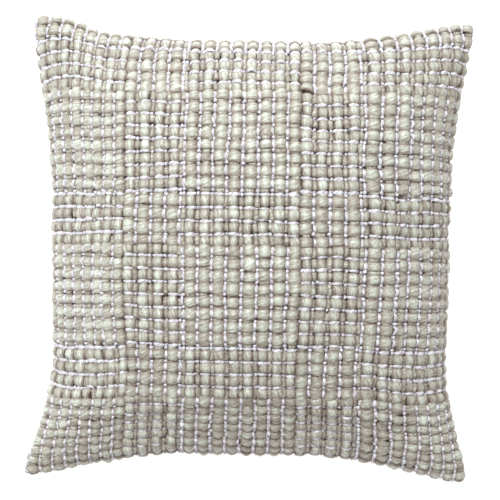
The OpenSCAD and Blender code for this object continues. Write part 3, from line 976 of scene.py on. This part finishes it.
# plain back: its rim rolls up into the seam
every = slice(None, None, BACK_STEP)
outer = back_table[every, every]
inner = back(back_u[every, every], back_v[every, every], *BACK_IN) + outer - back_start[every, every]
inner[..., 2] = np.maximum(inner[..., 2], BACK_THICK)
back_piece = shell("plain_back", outer, inner, -1)
dress(back_piece, back_mat)
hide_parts("cover_back_panel")

# insert
for name, node, shape, faces, up in (
    ("insert_front_cloth", "insert_shell_front", front, INSERT_FRONT, 1),
    ("insert_back_cloth", "insert_shell_back", back, INSERT_BACK, -1),
):
    o = shell(name, *(shape(hidden_u, hidden_v, *face, slot=0, ears=INSERT_EARS) for face in faces), up)
    dress(o, insert_mat)
    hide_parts(node)
fluff = soft_noise(hidden_u.shape[0], FLUFF_CELLS, FLUFF_SEED)[..., None] * np.array([0, 0, FLUFF])
fill = shell("insert_filling", front(hidden_u, hidden_v, *FILL_FRONT, slot=0, ears=INSERT_EARS) + fluff,
             back(hidden_u, hidden_v, *FILL_BACK, slot=0, ears=INSERT_EARS) - fluff, 1)
dress(fill, fill_mat)
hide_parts("insert_fill")

# ---------- zipper ----------

coil_lo, coil_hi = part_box("zipper_coil_front")
CHAIN_Y = (coil_lo.y + coil_hi.y) / 2
# The coils: pitch, points to a turn, half width, middle's height off the seam's plane, half height, wire
COIL_PITCH = 1.7 * MM
COIL_STEPS = 12
COIL_WIDE = 0.72 * MM
COIL_OFF = 1.62 * MM
COIL_HIGH = 1.08 * MM
COIL_WIRE = 0.34 * MM
# How far the wire's middle stays from the row's ends
COIL_END = 0.5 * MM
TUBE_SIDES = 6
# The sewing thread's radius, a stitch's sections with their share of it, and the stitches' length and gap
THREAD = 0.38 * MM
STITCH_AT = np.array([0, 0.04, 0.15, 0.5, 0.85, 0.96, 1.0])
STITCH_TAPER = np.array([0.05, 0.6, 1, 1.05, 1, 0.6, 0.05])
ZIP_STITCH = (2.6 * MM, 0.5 * MM)
SEAM_STITCH = (3.0 * MM, 0.6 * MM)


def tube(points, radius):
    """A tube along a line of points."""
    p = np.asarray(points, float)
    tan = unit(np.gradient(p, axis=0))
    steep = np.abs(tan[:, 2:3]) > 0.9
    a = unit(np.cross(tan, np.where(steep, np.array([[1.0, 0, 0]]), np.array([[0, 0, 1.0]]))))
    b = np.cross(a, tan)
    angle = np.arange(TUBE_SIDES) / TUBE_SIDES * 2 * math.pi
    r = np.broadcast_to(np.asarray(radius, float), (len(p),))
    around = a[:, None] * np.cos(angle)[None, :, None] + b[:, None] * np.sin(angle)[None, :, None]
    v = p[:, None] + around * r[:, None, None]
    return v.reshape(-1, 3), tube_quads(len(p), TUBE_SIDES)


def joined(name, parts, mat, node):
    """One piece of the cover from several tubes, in place of a CAD node."""
    vs, qs, at = [], [], 0
    for v, q in parts:
        vs.append(v)
        qs.append(q + at)
        at += len(v)
    o = make(name, np.concatenate(vs), np.concatenate(qs))
    dress(o, mat)
    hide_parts(node)


for side, node in ((1, "zipper_coil_front"), (-1, "zipper_coil_back")):
    turns = int((coil_hi.x - coil_lo.x - 2 * COIL_END) / COIL_PITCH)
    t = np.linspace(0, turns, turns * COIL_STEPS + 1)
    ang = 2 * math.pi * t
    # the back row's loops lie between the front row's
    x = coil_lo.x + COIL_END + (t + (0.5 if side < 0 else 0)) * COIL_PITCH - 0.25 * COIL_PITCH
    y = CHAIN_Y + COIL_WIDE * np.cos(ang)
    z = SEAM + side * (COIL_OFF + COIL_HIGH * np.sin(ang))
    joined(node + "_wire", [tube(np.stack([x, y, z], 1), COIL_WIRE)], coil_mat, node)


def dashes(path, length, gap):
    """Stitches along a line: short rounded loops of thread that dip at their ends."""
    run = run_along(path)
    out = []
    at = 0.0
    while at + length < run[-1]:
        s = at + length * STITCH_AT
        p = np.stack([np.interp(s, run, path[:, k]) for k in range(3)], 1)
        out.append(tube(p, THREAD * STITCH_TAPER))
        at += length + gap
    return out


for node in ("zipper_stitch_front", "zipper_stitch_back"):
    lo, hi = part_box(node)
    mid = (lo + hi) / 2
    path = np.array([[lo.x, mid.y, mid.z], [hi.x, mid.y, mid.z]])
    joined(node + "_thread", dashes(path, *ZIP_STITCH), thread_mat, node)

# ---------- what is sewn inside the seam ----------

# Points along a side and beside the zipper, where the path begins, and how the ears are rounded
SIDE_POINTS = 120
START_POINTS = 10
PAST_ZIP = SLOT_L + 12 * MM
SEAM_ROUND = 22 * MM
# How far inside the outline the stitches, the cloth's two edges and the overlock run
STITCHES_D = 6.5 * MM
ALLOWANCE_D = (5.2 * MM, 14 * MM)
OVERLOCK_D = 13.2 * MM
# The raw edge's wave: its height, and radians from one point of the path to the next
EDGE_WAVE = 0.15 * MM
EDGE_TURN = 1.7
# The overlock: distance between points, length of a loop, half width, thread, free height
LOOP_STEP = 0.55 * MM
LOOP_LONG = 3.3 * MM
LOOP_WIDE = 1.3 * MM
LOOP_THREAD = 0.3 * MM
LOOP_FREE = 0.7 * MM


def seam_path(d, z):
    """Round the pillow in the seam's plane, past the stretch with the zipper."""
    s = np.sin(np.linspace(-1, 1, SIDE_POINTS) * math.pi / 2)
    start = np.linspace(PAST_ZIP / (HALF_W - PULL_X), 1, START_POINTS)
    ones = np.ones(SIDE_POINTS - 1)
    u = np.concatenate([start, ones, -s[1:], -ones, -start[::-1][1:]])
    v = np.concatenate([-np.ones(START_POINTS), s[1:], ones, -s[1:], -np.ones(START_POINTS - 1)])
    x, y = at_xy(u, v, d, tip=SEAM_ROUND)
    return np.stack([x, y, np.full_like(x, z)], 1)


# the turned-in cloth beside the seam, with a slightly wavy raw edge
al_lo, al_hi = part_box("cover_seam_allowance")
near, far = ALLOWANCE_D
corners = ((far, al_lo.z), (near, al_lo.z), (near, al_hi.z), (far, al_hi.z))
rings = np.stack([seam_path(d, z) for d, z in corners], 1)
rings[:, :, 2] += EDGE_WAVE * np.sin(np.arange(len(rings)) * EDGE_TURN)[:, None] * np.array([1, 0, 0, 1])
band = (rings.reshape(-1, 3), tube_quads(len(rings), 4))
joined("turned_seam", [band], tape_mat, "cover_seam_allowance")

# loops of thread over its raw edge
ov_lo, ov_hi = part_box("cover_overlock_thread")
edge_line = seam_path(OVERLOCK_D, (ov_lo.z + ov_hi.z) / 2)
edge_run = run_along(edge_line)
loops = np.arange(0, edge_run[-1], LOOP_STEP)
turn_at = loops / LOOP_LONG * 2 * math.pi
mid_pts = np.stack([np.interp(loops, edge_run, edge_line[:, k]) for k in range(3)], 1)
across = unit(np.cross(np.gradient(mid_pts, axis=0), np.array([0, 0, 1.0])))
mid_pts += across * (LOOP_WIDE * np.cos(turn_at))[:, None]
mid_pts[:, 2] += (ov_hi.z - ov_lo.z - LOOP_FREE) / 2 * np.sin(turn_at)
joined("overlock_loops", [tube(mid_pts, LOOP_THREAD)], thread_mat, "cover_overlock_thread")

st_lo, st_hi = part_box("cover_seam_thread")
stitches = dashes(seam_path(STITCHES_D, (st_lo.z + st_hi.z) / 2), *SEAM_STITCH)
joined("seam_stitches", stitches, thread_mat, "cover_seam_thread")

# ---------- the CAD's own shapes, the slider and the pull with softened edges ----------

for name, node, body in (("slider_body", "zipper_slider", "slider"), ("pull_tab", "zipper_pull", "pull")):
    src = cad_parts[node]
    o = bpy.data.objects.new(name, src.data.copy())
    bpy.context.scene.collection.objects.link(o)
    weld = o.modifiers.new("Weld", "WELD")
    weld.merge_threshold = 0.01 * MM
    bev = o.modifiers.new("Bevel", "BEVEL")
    bev.width = 0.16 * MM
    bev.segments = 2
    bev.limit_method = "ANGLE"
    bev.angle_limit = math.radians(35)
    bev.harden_normals = True
    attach(o, body)
    dress(o, metal_mat)
    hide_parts(node)

for node, mat in (
    ("zipper_tape_front", tape_mat), ("zipper_tape_back", tape_mat), ("zipper_top_stop_front", metal_mat),
    ("zipper_top_stop_back", metal_mat), ("zipper_bottom_stop", metal_mat), ("insert_seam", tape_mat),
    ("care_label", label_mat), ("insert_label", label_mat),
):
    dress(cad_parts[node], mat)

# ---------- floor, light, camera ----------

FLOOR_HALF = 4
FLOOR_Z = -0.4 * MM
SKY = (1.0, 0.90, 0.87, 1)
SKY_STRENGTH = 0.25
COOL_WHITE = (0.94, 1.0, 0.965)


def plane(name, half, z):
    """A flat square of the studio."""
    square = [[-half, -half, z], [half, -half, z], [half, half, z], [-half, half, z]]
    o = make(name, square, [[0, 1, 2, 3]], body=None, shade=False)
    return o


floor = plane("floor", FLOOR_HALF, FLOOR_Z)
g = Nodes("pale_floor")
g.put(g.bsdf, "Base Color", (0.93, 0.93, 0.93, 1))
g.put(g.bsdf, "Roughness", 0.9)
g.put(g.bsdf, "Emission Color", (1, 1, 1, 1))
g.put(g.bsdf, "Emission Strength", 0.65)
dress(floor, g.mat)

world = bpy.data.worlds.new("studio")
bpy.context.scene.world = world
world.use_nodes = True
world.node_tree.nodes["Background"].inputs[0].default_value = SKY
world.node_tree.nodes["Background"].inputs[1].default_value = SKY_STRENGTH


def area(name, place, target, size, power, colour=COOL_WHITE):
    """A square lamp at a place, turned to a target, with its power in watts."""
    data = bpy.data.lights.new(name, "AREA")
    data.size = size
    data.energy = power
    data.color = colour
    o = bpy.data.objects.new(name, data)
    bpy.context.scene.collection.objects.link(o)
    o.location = place
    o.rotation_euler = (Vector(target) - Vector(place)).to_track_quat("-Z", "Y").to_euler()


area("key", (-0.55, 1.4, 2.15), (0, 0, 0.08), 0.4, 51, (0.895, 1.0, 0.965))
area("top", (-0.1, 0.2, 2.7), (0, 0, 0.05), 0.5, 26)
area("rim_top", (0, 2.2, 0.5), (0, 0, 0.07), 0.8, 10)
area("rim_left", (-2.2, 0.2, 0.45), (0, 0, 0.07), 0.8, 7)

# The camera looks straight down, turned a little, and frames this width of the seam's plane
DISTANCE = 1.7
FRAMED = 0.5465
ROLL = math.radians(1.0)
SENSOR = 36
scene = bpy.context.scene
scene.view_settings.view_transform = "Standard"
cam_data = bpy.data.cameras.new("camera")
cam_data.sensor_width = SENSOR
cam = bpy.data.objects.new("camera", cam_data)
scene.collection.objects.link(cam)
cam.location = (0, 0, SEAM + DISTANCE)
cam.rotation_euler = (0, 0, ROLL)
cam_data.lens = SENSOR * DISTANCE / FRAMED
cam_data.clip_end = 20
scene.camera = cam
